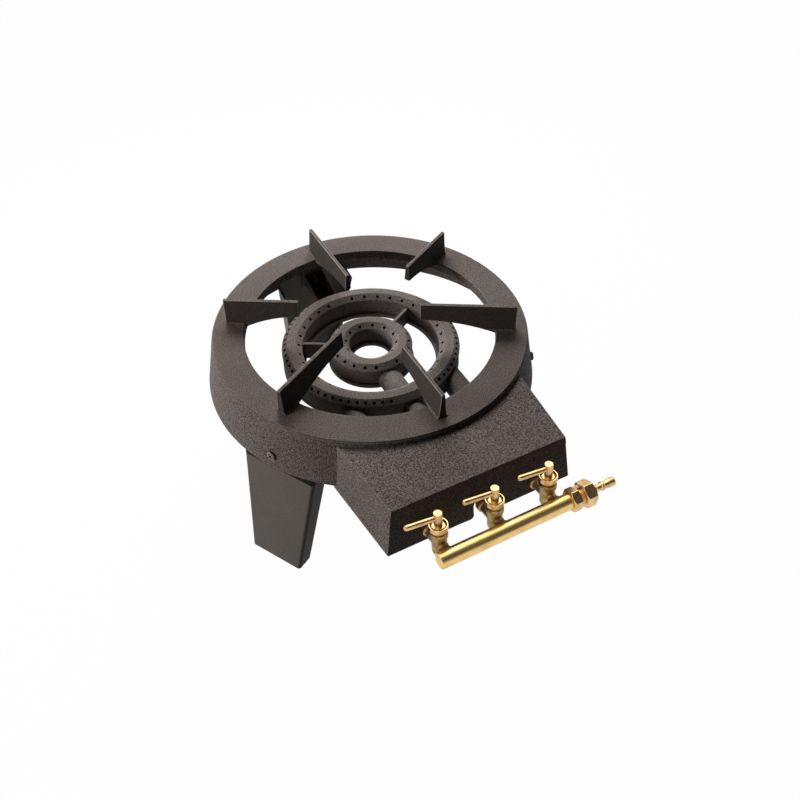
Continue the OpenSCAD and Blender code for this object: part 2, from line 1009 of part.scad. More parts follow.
module injectors() {
  color("#d8b65c")
    for (x = [-tap_pitch, 0, tap_pitch])
      rearward(x, pad_y + spigot_out, flow_z)
        difference() {
          union() {
            translate([0, 0, -7])
              cylinder(r = 3.2 - press_gap, h = 8);
            cylinder(r = hex_r(injector_af), h = 4.5, $fn = 6);
            translate([0, 0, 4])
              cylinder(r1 = 3.6, r2 = 2, h = 5);
          }
          translate([0, 0, -8])
            cylinder(r = 1.6, h = 13);
          cylinder(r = 0.6, h = 20);
        }
}

module hose_adapter() {
  color("#b98f45")
    along_manifold(adapter_x)
      difference() {
        union() {
          translate([0, 0, -stub_l])
            cylinder(r = man_in_r - press_gap, h = stub_l + 1);
          intersection() {
            cylinder(r = hex_r(adapter_af), h = adapter_l, $fn = 6);
            cylinder(r = adapter_af * 0.55, h = adapter_l);
          }
          cylinder(r = thread_r, h = adapter_l + thread_l);
        }
        translate([0, 0, -10])
          cylinder(r = 3.5, h = 60);
      }
}

module sealing_washer() {
  color("#3c3a36")
    along_manifold(thread_end)
      tube(thread_r - 0.6, 3.5, washer_t);
}

module union_nut() {
  inside = thread_end + washer_t + tail_flange_t - union_x;
  color("#c29a4c")
    along_manifold(union_x)
      difference() {
        intersection() {
          cylinder(r = hex_r(union_af), h = union_l, $fn = 6);
          translate([0, 0, -union_af / 2 + 3])
            cylinder(r1 = union_af, r2 = union_af * 0.5, h = union_l + union_af / 2 - 3);
          translate([0, 0, -2])
            cylinder(r1 = union_af * 0.5, r2 = union_af, h = union_l + 2);
        }
        translate([0, 0, -1])
          cylinder(r = thread_r + press_gap, h = inside + 1);
        cylinder(d = tail_d - 0.4, h = union_l + 1);
      }
}

// Barbed tail: flange inside the union nut, shank, middle crest and flared end with equal crest lands.
module hose_tail() {
  start = thread_end + washer_t;
  face = union_end - start;
  last = tail_end - start;
  root = tail_root_d / 2;
  crest = tail_d / 2;
  bore = tail_bore / 2;
  color("#d8b65c")
    along_manifold(start)
      rotate_extrude()
        polygon([
          [bore, 0],
          [thread_r - 0.4, 0],
          [thread_r - 0.4, tail_flange_t],
          [crest - 0.3, tail_flange_t],
          [crest - 0.3, face + 5],
          [root, face + 6],
          [root, face + 11],
          [crest, face + 12.4],
          [crest, face + 13.9],
          [root, face + 14.9],
          [root, face + 17],
          [crest, last - 7],
          [crest, last - 1.6],
          [crest - 1.6, last],
          [bore, last]
        ]);
}

place() body();
place() burner_base();
place() large_ring_cap();
place() centre_ring_cap();
place() burner_bolts();
place() rear_bracket();
place() leg(-150);  // leg_left
place() leg(-30);  // leg_right
place() leg(90);  // leg_rear
place() leg_screws();
place() leg_nuts();
place() manifold_tube();
place() manifold_plug();
place() tap_body(-tap_pitch);  // tap_body_left
place() tap_body(0);  // tap_body_middle
place() tap_body(tap_pitch);  // tap_body_right
place() tap_plug(-tap_pitch);  // tap_plug_left
place() tap_plug(0);  // tap_plug_middle
place() tap_plug(tap_pitch);  // tap_plug_right
place() tap_lever(-tap_pitch);  // tap_lever_left
place() tap_lever(0);  // tap_lever_middle
place() tap_lever(tap_pitch);  // tap_lever_right
place() gland_nuts();
place() spring_washers();
place() lock_nuts();
place() injectors();
place() hose_adapter();
place() sealing_washer();
place() union_nut();
place() hose_tail();
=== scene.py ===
"""Looks of an outdoor gas burner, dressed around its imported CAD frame.

Castings, folded sheets, screws and nuts are copies of their CAD solids with rounded, worn edges.
The levers, gland nuts, manifold and hose end are spun or extruded, and every finish is a
procedural material. Sizes in the parts are millimetres; meshes, finishes and the studio are in
metres, apart from the camera's place. The frame is the CAD's own: +Z up, front along -Y, origin
on the floor under the middle of the outline.
"""

import json
import logging
import math
from dataclasses import dataclass
from enum import Enum
from typing import Any, Optional, Sequence, Union

import bmesh
import bpy
from bmesh.types import BMEdge, BMesh, BMVert
from mathutils import Matrix, Vector

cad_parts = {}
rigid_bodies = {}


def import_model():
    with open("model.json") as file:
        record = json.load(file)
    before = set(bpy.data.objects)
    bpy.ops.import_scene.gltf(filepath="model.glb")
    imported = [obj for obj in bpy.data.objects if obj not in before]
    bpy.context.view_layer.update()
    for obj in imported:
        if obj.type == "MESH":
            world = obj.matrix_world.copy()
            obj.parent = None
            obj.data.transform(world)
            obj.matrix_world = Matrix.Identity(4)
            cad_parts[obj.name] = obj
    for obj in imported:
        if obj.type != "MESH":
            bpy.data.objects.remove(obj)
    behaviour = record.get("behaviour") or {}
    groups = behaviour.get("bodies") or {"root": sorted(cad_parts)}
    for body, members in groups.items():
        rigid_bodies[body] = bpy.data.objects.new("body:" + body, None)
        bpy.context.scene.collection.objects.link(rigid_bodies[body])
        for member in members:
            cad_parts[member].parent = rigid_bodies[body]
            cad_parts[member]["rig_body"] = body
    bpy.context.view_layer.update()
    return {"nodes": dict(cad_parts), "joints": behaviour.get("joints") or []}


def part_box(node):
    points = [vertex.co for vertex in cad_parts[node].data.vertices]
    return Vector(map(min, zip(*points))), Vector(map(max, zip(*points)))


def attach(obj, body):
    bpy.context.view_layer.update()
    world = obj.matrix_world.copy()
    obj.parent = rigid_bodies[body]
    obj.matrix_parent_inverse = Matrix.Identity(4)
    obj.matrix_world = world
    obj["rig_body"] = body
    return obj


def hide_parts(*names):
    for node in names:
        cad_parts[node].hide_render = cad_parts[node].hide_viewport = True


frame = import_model()

MM = 0.001
LOG = logging.getLogger("gas_burner")

Colour = tuple[float, float, float, float]
Spot = tuple[float, float, float]
Point = tuple[float, float]
Band = tuple[float, float]
Setting = Any
Operand = Union["Value", float]

# Attributes of the meshes that the finishes read.
WEAR = "wear"
# SHADE marks the hollows where the finishes paint shade.
SHADE = "shade"

# Values that the finishes share: bands are where a smooth step starts and ends.
WHITE: Colour = (1.0, 1.0, 1.0, 1.0)
UNSTRETCHED: Spot = (1.0, 1.0, 1.0)
NOISE_MIDDLE = 0.5
GRIT: Band = (0.38, 0.62)
MOTTLE: Band = (0.3, 0.7)
LEVEL: Band = (0.35, 0.7)

# Places of the colour sockets of a Mix node.
MIX_SHARE, MIX_LOW, MIX_HIGH, MIX_RESULT = 0, 6, 7, 2

# Softening of meshes: welds in metres, angles in degrees, the shortest edge in roundings.
WELD = 2e-6
SPUN_WELD = 1e-7
CREASE_ANGLE = 40.0
ROUNDED_ANGLE = 28.0
ROUNDED_FACES = 3
ROUNDED_PROFILE = 0.5
SHORTEST_EDGE = 1.2
NORMAL_WEIGHT = 100

# Spun and extruded shapes.
ON_AXIS = 1e-6
CORNER_SHARE = 0.45
CORNER_CHORDS = 3
RING_POINTS = 96
HEXAGON_SIDE = math.radians(60)


def srgb(red: int, green: int, blue: int) -> Colour:
    """Gives the linear colour of an 8-bit sRGB one.

    Args:
        red: Red from 0 to 255.
        green: Green from 0 to 255.
        blue: Blue from 0 to 255.

    Returns:
        Linear red, green, blue and an alpha of 1.
    """

    def linear(level: int) -> float:
        """Linear value of one channel."""
        share = level / 255
        return share / 12.92 if share <= 0.04045 else ((share + 0.055) / 1.055) ** 2.4

    return linear(red), linear(green), linear(blue), 1.0


class Slot(Enum):
    """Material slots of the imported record."""

    BODY = "cast_body"
    BURNER = "cast_burner"
    LEG = "leg_paint"
    STEEL = "fastener_steel"
    TUBE = "drawn_brass"
    TAP = "cast_brass"
    TURNED = "turned_brass"
    SEAL = "seal_rubber"


class Value:
    """An output socket with the arithmetic that the finishes use."""

    def __init__(self, graph: "Graph", socket: bpy.types.NodeSocket) -> None:
        """Wraps a socket of a graph."""
        self.graph = graph
        self.socket = socket

    def _math(self, operation: str, *operands: Operand) -> "Value":
        """Adds a Math node and gives its result."""
        settings = {"operation": operation}
        node = self.graph.node("ShaderNodeMath", settings, dict(enumerate(operands)))
        return Value(self.graph, node.outputs[0])

    def __add__(self, other: Operand) -> "Value":
        """Sum with a value or number."""
        return self._math("ADD", self, other)

    def __sub__(self, other: Operand) -> "Value":
        """Difference to a value or number."""
        return self._math("SUBTRACT", self, other)

    def __rsub__(self, other: float) -> "Value":
        """Difference from a number."""
        return self._math("SUBTRACT", other, self)

    def __mul__(self, other: Operand) -> "Value":
        """Product with a value or number."""
        return self._math("MULTIPLY", self, other)

    def between(self, low: float, high: float) -> "Value":
        """Smooth step from 0 at low to 1 at high."""
        node = self.graph.node(
            "ShaderNodeMapRange",
            {"interpolation_type": "SMOOTHSTEP"},
            {"Value": self, "From Min": low, "From Max": high},
        )
        return Value(self.graph, node.outputs[0])

    def past(self, level: float, band: Band) -> "Value":
        """Smooth step across a band that is given from a level."""
        return self.between(level + band[0], level + band[1])

    def around(self, middle: float, spread: float) -> "Value":
        """Scales a noise of 0 to 1 to a spread about a middle."""
        return self * spread + (middle - spread / 2)


class Graph:
    """The node tree of a material or of the world."""

    def __init__(self, tree: bpy.types.NodeTree) -> None:
        """Starts with an empty tree."""
        self.tree = tree
        tree.nodes.clear()

    def node(
        self,
        kind: str,
        settings: Optional[dict[str, Setting]] = None,
        sockets: Optional[dict[Union[str, int], Setting]] = None,
    ) -> bpy.types.Node:
        """Adds a node, sets it and fills its sockets.

        Args:
            kind: Blender's type of the node.
            settings: Properties of the node.
            sockets: Links or constants of the inputs, by name or place.

        Returns:
            The new node.
        """
        made = self.tree.nodes.new(kind)
        for name, value in (settings or {}).items():
            setattr(made, name, value)
        for name, value in (sockets or {}).items():
            source = value.socket if isinstance(value, Value) else value
            if isinstance(source, bpy.types.NodeSocket):
                self.tree.links.new(source, made.inputs[name])
            else:
                made.inputs[name].default_value = source
        return made

    def place(self, stretch: Spot = UNSTRETCHED) -> bpy.types.NodeSocket:
        """Object coordinates, multiplied per axis."""
        spot = self.node("ShaderNodeTexCoord").outputs["Object"]
        if stretch == UNSTRETCHED:
            return spot
        return self.node("ShaderNodeMapping", None, {"Vector": spot, "Scale": stretch}).outputs[0]

    def rise(self, vector: bpy.types.NodeSocket) -> Value:
        """Upward part of a vector."""
        return Value(self, self.node("ShaderNodeSeparateXYZ", None, {0: vector}).outputs[2])

    def height(self) -> Value:
        """Height above the floor in metres."""
        return self.rise(self.place())

    def upright(self) -> Value:
        """Mask of the sides, 0 on faces that look up."""
        return 1 - self.rise(self.node("ShaderNodeNewGeometry").outputs["Normal"]).between(*LEVEL)

    def noise(
        self, scale: float, detail: float = 2.0, rough: float = 0.5, stretch: Spot = UNSTRETCHED
    ) -> Value:
        """Noise of a number of waves per metre, around 0.5."""
        node = self.node(
            "ShaderNodeTexNoise",
            None,
            {"Vector": self.place(stretch), "Scale": scale, "Detail": detail, "Roughness": rough},
        )
        return Value(self, node.outputs["Fac"])

    def cells(self, scale: float) -> Value:
        """Distance to the nearest of a number of seeds per metre, from 0 at a seed."""
        node = self.node("ShaderNodeTexVoronoi", None, {"Vector": self.place(), "Scale": scale})
        return Value(self, node.outputs["Distance"])

    def _attribute(self, name: str) -> Value:
        """Values of an attribute of the mesh."""
        node = self.node("ShaderNodeAttribute", {"attribute_name": name})
        return Value(self, node.outputs["Fac"])

    def wear(self) -> Value:
        """Mask of the rounded edges, 1 along their crest."""
        return self._attribute(WEAR)

    def shade(self) -> Value:
        """Mask of the hollows that get painted shade, 1 inside them."""
        return self._attribute(SHADE)

    def mix(self, share: Value, low: Setting, high: Setting) -> bpy.types.NodeSocket:
        """Colour between two colours."""
        sockets = {MIX_SHARE: share, MIX_LOW: low, MIX_HIGH: high}
        return self.node("ShaderNodeMix", {"data_type": "RGBA"}, sockets).outputs[MIX_RESULT]

    def blend(self, share: Value, low: bpy.types.Node, high: bpy.types.Node) -> bpy.types.Node:
        """Shader between two shaders."""
        sockets = {0: share, 1: low.outputs[0], 2: high.outputs[0]}
        return self.node("ShaderNodeMixShader", None, sockets)

    def bump(self, height: Value, depth: float) -> bpy.types.NodeSocket:
        """Normal of a height of that depth in metres."""
        return self.node("ShaderNodeBump", None, {"Height": height, "Distance": depth}).outputs[0]

    def surface(self, sockets: dict[str, Setting]) -> None:
        """Ends the tree in a Principled shader."""
        self.output(self.node("ShaderNodeBsdfPrincipled", None, sockets))

    def output(self, shader: bpy.types.Node, kind: str = "ShaderNodeOutputMaterial") -> None:
        """Ends the tree in a shader."""
        self.node(kind, None, {"Surface": shader.outputs[0]})


def new_graph(name: str) -> tuple[bpy.types.Material, Graph]:
    """Makes a material and its empty graph."""
    material = bpy.data.materials.new(name)
    material.use_nodes = True
    return material, Graph(material.node_tree)


@dataclass(frozen=True)
class CastIron:
    """Sand-cast iron under thin matt stove paint: grains, pits and bare worn edges.

    The casting is coarser below the height where its top was dressed. Whatever stands above
    that top has sides darkened as painted shade, and edges rubbed brighter with a painted
    highlight added. Hollows marked in the mesh get painted shade. Bands of height are given from
    that level, and every number of waves is per metre.
    """

    name: str
    peak: Colour
    dip: Colour
    edge: Colour
    grains: float
    relief: float = 0.0009
    coarseness: float = 0.5
    speckle: float = 0.7
    dressed: float = 1.0
    coarse_band: Band = (-0.003, -0.0005)
    proud_band: Band = (0.0005, 0.002)
    painted_shade: float = 0.62
    hollow_shade: Colour = srgb(6, 6, 5)
    roughness: float = 0.6
    roughness_spread: float = 0.3
    gloss: float = 0.05
    cloud_waves: float = 16.0
    cloud_spread: float = 0.4
    grain_share: float = 0.6
    fine_ratio: float = 2.3
    fine_relief: float = 0.4
    pit_ratio: float = 0.7
    pit_band: Band = (0.1, 0.34)
    pit_shade: float = 0.55
    pit_relief: float = 0.9
    dressed_pits: float = 0.2
    patch_waves: float = 150.0
    patch_band: Band = (0.45, 0.65)
    rub: float = 0.25
    proud_edge_highlight: float = 0.5

    def material(self) -> bpy.types.Material:
        """Builds the material."""
        material, graph = new_graph(self.name)
        height = graph.height()
        coarse = 1 - height.past(self.dressed, self.coarse_band)
        proud = height.past(self.dressed, self.proud_band)
        cloud = graph.noise(self.cloud_waves, detail=3)
        grain = graph.noise(self.grains, rough=0.6)
        fine = graph.noise(self.grains * self.fine_ratio, detail=1)
        pits = 1 - graph.cells(self.grains * self.pit_ratio).between(*self.pit_band)
        patches = graph.noise(self.patch_waves).between(*self.patch_band)
        pitted = pits * patches * (coarse * (1 - self.dressed_pits) + self.dressed_pits)
        speck = grain.between(*GRIT) * self.grain_share
        speck = speck + fine.between(*GRIT) * (1 - self.grain_share)
        share = (speck - NOISE_MIDDLE) * (coarse * self.coarseness + self.speckle) + NOISE_MIDDLE
        share = share * cloud.around(1.0, self.cloud_spread) * (1 - pitted * self.pit_shade)
        tone = graph.mix(share, self.dip, self.peak)
        # Painted shade: the sides of what stands above the dressed top are darkened towards the dip
        # colour.
        tone = graph.mix(proud * graph.upright() * self.painted_shade, tone, self.dip)
        # Worn edges rubbed brighter; on what stands above the dressed top, a painted highlight is
        # added along them.
        tone = graph.mix(graph.wear() * (proud * self.proud_edge_highlight + self.rub), tone, self.edge)
        # Painted shade: marked hollows, such as the burner ports, are turned near black.
        tone = graph.mix(graph.shade(), tone, self.hollow_shade)
        relief = grain + fine * self.fine_relief - pitted * self.pit_relief
        graph.surface({
            "Base Color": tone,
            "Roughness": grain.around(self.roughness, self.roughness_spread),
            "Specular IOR Level": self.gloss,
            "Normal": graph.bump(relief, self.relief),
        })
        return material


@dataclass(frozen=True)
class SheetPaint:
    """Smooth black paint on folded sheet, with a faint orange peel.

    From a height upwards, where the sheet goes under the skirt, it may be darkened as painted
    shade.
    """

    name: str
    face: Colour
    dull: Colour
    edge: Colour
    shaded_from: Optional[float] = None
    shade_fade: float = 0.0015
    painted_shade: Colour = srgb(9, 8, 8)
    roughness: float = 0.5
    roughness_spread: float = 0.2
    gloss: float = 0.06
    cloud_waves: float = 20.0
    peel_waves: float = 900.0
    peel_share: float = 0.7
    relief: float = 0.0003
    rub: float = 0.6

    def material(self) -> bpy.types.Material:
        """Builds the material."""
        material, graph = new_graph(self.name)
        cloud = graph.noise(self.cloud_waves)
        peel = graph.noise(self.peel_waves)
        clouded = cloud.between(*MOTTLE) * (1 - self.peel_share)
        share = clouded + peel.between(*GRIT) * self.peel_share
        tone = graph.mix(share, self.dull, self.face)
        tone = graph.mix(graph.wear() * self.rub, tone, self.edge)
        # Painted shade under the skirt, from the given height upwards.
        if self.shaded_from is not None:
            under = graph.height().past(self.shaded_from, (0.0, self.shade_fade))
            tone = graph.mix(under, tone, self.painted_shade)
        graph.surface({
            "Base Color": tone,
            "Roughness": peel.around(self.roughness, self.roughness_spread),
            "Specular IOR Level": self.gloss,
            "Normal": graph.bump(peel, self.relief),
        })
        return material


@dataclass(frozen=True)
class Brass:
    """Bare brass: brushed, turned or cast by its stretch, relief and roughness."""

    name: str
    bright: Colour
    dark: Colour
    roughness: float
    streak_waves: float
    stretch: Spot
    relief: float
    tarnish: float = 0.3
    streak_detail: float = 3.0
    streak_rough: float = 0.65
    streak_band: Band = (0.3, 0.6)
    streak_spread: float = 0.18
    cloud_waves: float = 90.0
    cloud_band: Band = (0.4, 0.7)
    cloud_spread: float = 0.12
    rub: float = 0.5

    def material(self) -> bpy.types.Material:
        """Builds the material."""
        material, graph = new_graph(self.name)
        cloud = graph.noise(self.cloud_waves, detail=3)
        streaks = graph.noise(
            self.streak_waves, self.streak_detail, self.streak_rough, self.stretch
        )
        dulled = cloud.between(*self.cloud_band) + (1 - streaks.between(*self.streak_band))
        tone = graph.mix(dulled * self.tarnish, self.bright, self.dark)
        tone = graph.mix(graph.wear() * self.rub, tone, self.bright)
        streaked = streaks.around(0.0, self.streak_spread)
        graph.surface({
            "Base Color": tone,
            "Metallic": 1.0,
            "Roughness": streaked + cloud.around(self.roughness, self.cloud_spread),
            "Normal": graph.bump(streaks, self.relief),
        })
        return material


@dataclass(frozen=True)
class Mottled:
    """Dull steel or rubber with fine mottling, and painted shade in marked hollows."""

    name: str
    face: Colour
    dull: Colour
    roughness: float
    roughness_spread: float = 0.2
    mottle_waves: float = 260.0
    relief: float = 0.0001
    rub: float = 0.5
    hollow_shade: Colour = srgb(8, 8, 7)

    def material(self) -> bpy.types.Material:
        """Builds the material."""
        material, graph = new_graph(self.name)
        mottle = graph.noise(self.mottle_waves, detail=3)
        tone = graph.mix(mottle.between(*MOTTLE), self.dull, self.face)
        tone = graph.mix(graph.wear() * self.rub, tone, self.face)
        # Painted shade in the marked hollows, such as screw recesses and head rims.
        tone = graph.mix(graph.shade(), tone, self.hollow_shade)
        graph.surface({
            "Base Color": tone,
            "Roughness": mottle.around(self.roughness, self.roughness_spread),
            "Normal": graph.bump(mottle, self.relief),
        })
        return material


Finish = Union[CastIron, SheetPaint, Brass, Mottled]

IRON_BODY = CastIron(
    "cast_iron_body",
    peak=srgb(118, 108, 103),
    dip=srgb(28, 25, 23),
    edge=srgb(140, 130, 123),
    grains=860.0,
    dressed=0.2,
)
IRON_BURNER = CastIron(
    "cast_iron_burner",
    peak=srgb(128, 119, 114),
    dip=srgb(36, 33, 31),
    edge=srgb(130, 121, 115),
    grains=620.0,
    relief=0.0005,
    coarseness=0.1,
    speckle=0.4,
)
# The left and right legs get painted shade under the skirt, from 0.129 m upwards.
LEG_PAINT = SheetPaint(
    "leg_paint", face=srgb(87, 81, 76), dull=srgb(73, 69, 65), edge=srgb(92, 86, 81), shaded_from=0.129
)
SHEET_PAINT = SheetPaint(
    "sheet_paint", face=srgb(92, 86, 81), dull=srgb(76, 71, 67), edge=srgb(132, 124, 118)
)
STEEL = Mottled("screw_steel", face=srgb(122, 114, 109), dull=srgb(92, 86, 82), roughness=0.6)
WASHER_STEEL = Mottled(
    "dark_washer_steel", face=srgb(46, 42, 38), dull=srgb(26, 24, 22), roughness=0.65
)
SEAL = Mottled("seal_rubber", face=srgb(38, 37, 35), dull=srgb(28, 27, 26), roughness=0.7)
TUBE_BRASS = Brass(
    "drawn_brass",
    bright=srgb(250, 212, 140),
    dark=srgb(198, 152, 86),
    roughness=0.33,
    streak_waves=60.0,
    stretch=(0.25, 14.0, 14.0),
    relief=0.00006,
)
TURNED_BRASS = Brass(
    "turned_brass",
    bright=srgb(240, 204, 146),
    dark=srgb(184, 138, 92),
    roughness=0.3,
    streak_waves=300.0,
    stretch=UNSTRETCHED,
    relief=0.00004,
    tarnish=0.4,
)
CAST_BRASS = Brass(
    "cast_brass",
    bright=srgb(188, 158, 108),
    dark=srgb(112, 86, 54),
    roughness=0.44,
    streak_waves=420.0,
    stretch=UNSTRETCHED,
    relief=0.0005,
    tarnish=0.5,
)


def body_of(node: str) -> str:
    """CAD body that holds a node."""
    return frame["nodes"][node]["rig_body"]


class Shop:
    """Turns a bmesh into a finished piece of the scene."""

    def __init__(self) -> None:
        """Starts with no materials made."""
        self._made: dict[str, bpy.types.Material] = {}

    def finish_of(self, finish: Finish) -> bpy.types.Material:
        """Material of a finish, made once."""
        if finish.name not in self._made:
            self._made[finish.name] = finish.material()
        return self._made[finish.name]

    def piece(
        self, name: str, mesh: BMesh, finish: Finish, slot: Slot, node: str
    ) -> bpy.types.Object:
        """Makes an object of a bmesh, dresses it and ties it to the body of its CAD node.

        Args:
            name: Name of the piece.
            mesh: Its shape in the frame's coordinates; it is freed here.
            finish: Its finish.
            slot: Record slot of the finish; not used.
            node: CAD node that it stands for.

        Returns:
            The finished object.
        """
        data = bpy.data.meshes.new(name)
        mesh.to_mesh(data)
        mesh.free()
        data.shade_smooth()
        data.materials.append(self.finish_of(finish))
        made = bpy.data.objects.new(name, data)
        bpy.context.scene.collection.objects.link(made)
        normals = made.modifiers.new("even_normals", "WEIGHTED_NORMAL")
        normals.weight = NORMAL_WEIGHT
        normals.keep_sharp = True
        body = body_of(node)
        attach(made, body)
        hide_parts(node)
        LOG.info("%s: %d faces on %s", name, len(data.polygons), body)
        return made


def solid_of(node: str) -> BMesh:
    """Copy of a CAD node as a closed mesh."""
    mesh = bmesh.new()
    mesh.from_mesh(frame["nodes"][node].data)
    bmesh.ops.remove_doubles(mesh, verts=mesh.verts, dist=WELD)
    return mesh


def crease(mesh: BMesh) -> BMesh:
    """Keeps the shading hard across sharp edges."""
    limit = math.radians(CREASE_ANGLE)
    for edge in mesh.edges:
        edge.smooth = not (edge.is_manifold and edge.calc_face_angle(0) > limit)
    return mesh


def soften(mesh: BMesh, width: float) -> BMesh:
    """Rounds the outer edges of a mesh and marks their crests as worn.

    Args:
        mesh: The shape, changed in place.
        width: Width of the rounding in millimetres.

    Returns:
        The same mesh.
    """
    limit = math.radians(ROUNDED_ANGLE)
    shortest = SHORTEST_EDGE * width * MM
    layer = mesh.verts.layers.float.new(WEAR)
    sharp = [
        edge
        for edge in mesh.edges
        if edge.is_manifold
        and edge.calc_face_angle_signed(0) > limit
        and edge.calc_length() > shortest
    ]
    made = bmesh.ops.bevel(
        mesh,
        geom=sharp,
        offset=width * MM,
        offset_type="OFFSET",
        segments=ROUNDED_FACES,
        profile=ROUNDED_PROFILE,
        affect="EDGES",
        material=-1,
        clamp_overlap=False,
        loop_slide=True,
    )
    bands = set(made["faces"])
    for vert in {vert for face in bands for vert in face.verts}:
        vert[layer] = 1.0 if all(face in bands for face in vert.link_faces) else 0.0
    return crease(mesh)


def islands(mesh: BMesh) -> list[list[BMVert]]:
    """Parts the vertices of a mesh into its separate bodies, in the mesh's order."""
    seen: set[BMVert] = set()
    bodies = []
    for start in mesh.verts:
        if start in seen:
            continue
        seen.add(start)
        body = [start]
        for vert in body:
            near = [edge.other_vert(vert) for edge in vert.link_edges]
            fresh = [other for other in near if other not in seen]
            seen.update(fresh)
            body.extend(fresh)
        bodies.append(body)
    return bodies


def round_corners(outline: Sequence[Point], radius: float) -> list[Point]:
    """Rounds the corners of a closed outline, except those on the axis.

    Args:
        outline: Radius and height of each corner in millimetres.
        radius: Reach of a rounding along its sides in millimetres.

    Returns:
        The finer outline.
    """
    made: list[Point] = []
    for index, corner in enumerate(outline):
        spot = Vector(corner)
        if spot.x < ON_AXIS:
            made.append(corner)
            continue
        before = Vector(outline[index - 1]) - spot
        after = Vector(outline[(index + 1) % len(outline)]) - spot
        reach = min(radius, CORNER_SHARE * before.length, CORNER_SHARE * after.length)
        start, end = spot + before.normalized() * reach, spot + after.normalized() * reach
        for step in range(CORNER_CHORDS + 1):
            share = step / CORNER_CHORDS
            point = start * (1 - share) ** 2 + spot * (2 * share * (1 - share)) + end * share**2
            made.append((point.x, point.y))
    return made


def lathe(outline: Sequence[Point], place: Matrix, radius: float, steps: int = 64) -> BMesh:
    """Spins a closed outline round Z and puts the ring in its place.

    Args:
        outline: Radius and height of each corner in millimetres.
        place: Where the shape goes, in metres.
        radius: Rounding of the corners in millimetres.
        steps: Faces round the axis.

    Returns:
        The closed shape.
    """
    mesh = bmesh.new()
    points = round_corners(outline, radius)
    verts = [mesh.verts.new((r * MM, 0.0, z * MM)) for r, z in points]
    edges = [mesh.edges.new((verts[i - 1], verts[i])) for i in range(len(verts))]
    bmesh.ops.spin(
        mesh,
        geom=verts + edges,
        cent=(0, 0, 0),
        axis=(0, 0, 1),
        angle=math.tau,
        steps=steps,
        use_merge=True,
    )
    bmesh.ops.remove_doubles(mesh, verts=mesh.verts, dist=SPUN_WELD)
    bmesh.ops.recalc_face_normals(mesh, faces=mesh.faces)
    bmesh.ops.transform(mesh, matrix=place, verts=mesh.verts)
    return crease(mesh)


def skin(rows: Sequence[Sequence[Vector]], place: Matrix, looped: bool = False) -> BMesh:
    """Extrudes a ring of vertices through rows of places.

    Args:
        rows: Rows of as many points each, in millimetres.
        place: Where the shape goes, in metres.
        looped: True to join the last row to the first, False to close both ends.

    Returns:
        The closed shape.
    """
    mesh = bmesh.new()
    station = mesh.verts.layers.int.new("station")
    start = bmesh.ops.create_circle(mesh, segments=len(rows[0]), radius=1.0)["verts"]
    for index, vert in enumerate(start):
        vert[station] = index
        vert.co = rows[0][index] * MM
    first = mesh.edges[:]
    ring = first
    for row in rows[1:]:
        grown = bmesh.ops.extrude_edge_only(mesh, edges=ring)["geom"]
        ring = [part for part in grown if isinstance(part, BMEdge)]
        for vert in {vert for edge in ring for vert in edge.verts}:
            vert.co = row[vert[station]] * MM
    if looped:
        bmesh.ops.bridge_loops(mesh, edges=first + ring)
    else:
        for loop in (first, ring):
            bmesh.ops.contextual_create(mesh, geom=loop)
    bmesh.ops.recalc_face_normals(mesh, faces=mesh.faces)
    bmesh.ops.transform(mesh, matrix=place, verts=mesh.verts)
    return crease(mesh)


def hexagon(flats: float, limit: float, height: float) -> list[Vector]:
    """Row of points round a hexagon whose corners are cut back to a radius.

    Args:
        flats: Width across the flats in millimetres, or infinity for a circle.
        limit: Largest radius in millimetres.
        height: Height of the row in millimetres.

    Returns:
        The points, the first on a corner.
    """
    row = []
    for index in range(RING_POINTS):
        turn = math.tau * index / RING_POINTS
        off = turn % HEXAGON_SIDE - HEXAGON_SIDE / 2
        reach = min(flats / 2 / math.cos(off), limit)
        row.append(Vector((reach * math.cos(turn), reach * math.sin(turn), height)))
    return row


def frame_at(spot: Vector, *axes: Vector) -> Matrix:
    """Frame with its origin at a spot, along three axes."""
    return Matrix.Translation(spot) @ Matrix(axes).transposed().to_4x4()


def join(*shapes: BMesh) -> BMesh:
    """Puts several shapes in the first one's mesh."""
    whole = shapes[0]
    for shape in shapes[1:]:
        data = bpy.data.meshes.new("joined")
        shape.to_mesh(data)
        shape.free()
        whole.from_mesh(data)
        bpy.data.meshes.remove(data)
    return whole


@dataclass
class Casting:
    """A cast, folded or turned piece that keeps its CAD shape, with rounded edges."""

    name: str
    node: str
    finish: Finish
    slot: Slot
    rounding: float

    def build(self, shop: Shop) -> bpy.types.Object:
        """Makes the piece."""
        mesh = soften(solid_of(self.node), self.rounding)
        return shop.piece(self.name, mesh, self.finish, self.slot, self.node)


